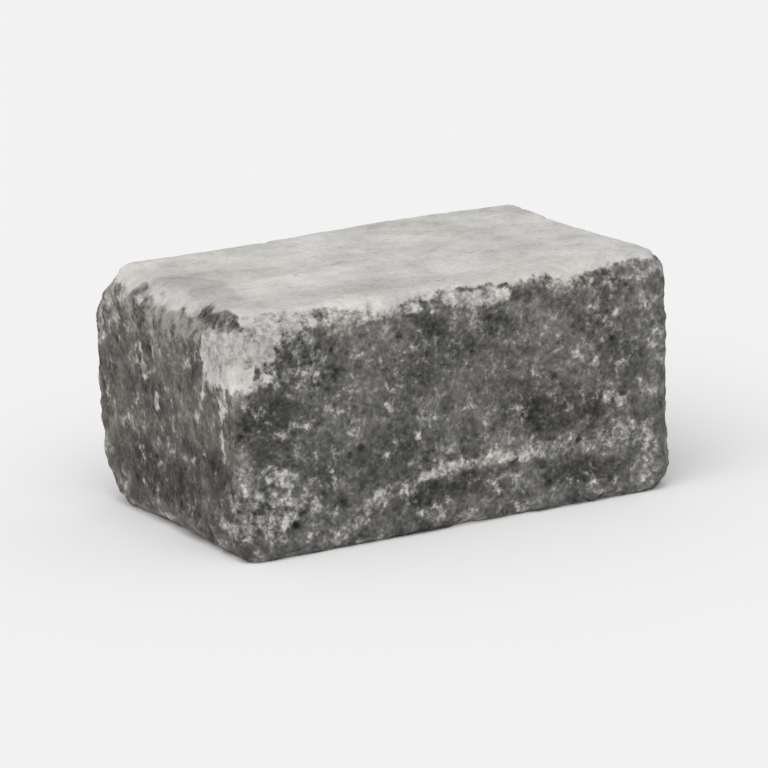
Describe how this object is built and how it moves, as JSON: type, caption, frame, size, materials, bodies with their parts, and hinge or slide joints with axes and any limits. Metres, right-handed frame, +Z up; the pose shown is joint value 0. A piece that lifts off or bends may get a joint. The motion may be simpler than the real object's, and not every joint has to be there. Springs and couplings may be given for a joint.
{
  "type": "concrete wall block",
  "caption": "Solid tumbled concrete block for dry-stacked garden and retaining walls, with worn arrises, knocked corners and weathered grey faces.",
  "frame": {"origin": "centre of the lower bed, on the plane that the block rests on", "axes": "+X along the wall to the right end, +Y from the front face into the wall, +Z up from the lower bed to the upper bed"},
  "size_m": [0.3, 0.2, 0.15],
  "materials": {
    "concrete": "matt weathered charcoal-grey concrete with paler beds, lime smears and light worn arrises"
  },
  "bodies": {
    "root": {"wall_block": "concrete"}
  },
  "joints": []
}
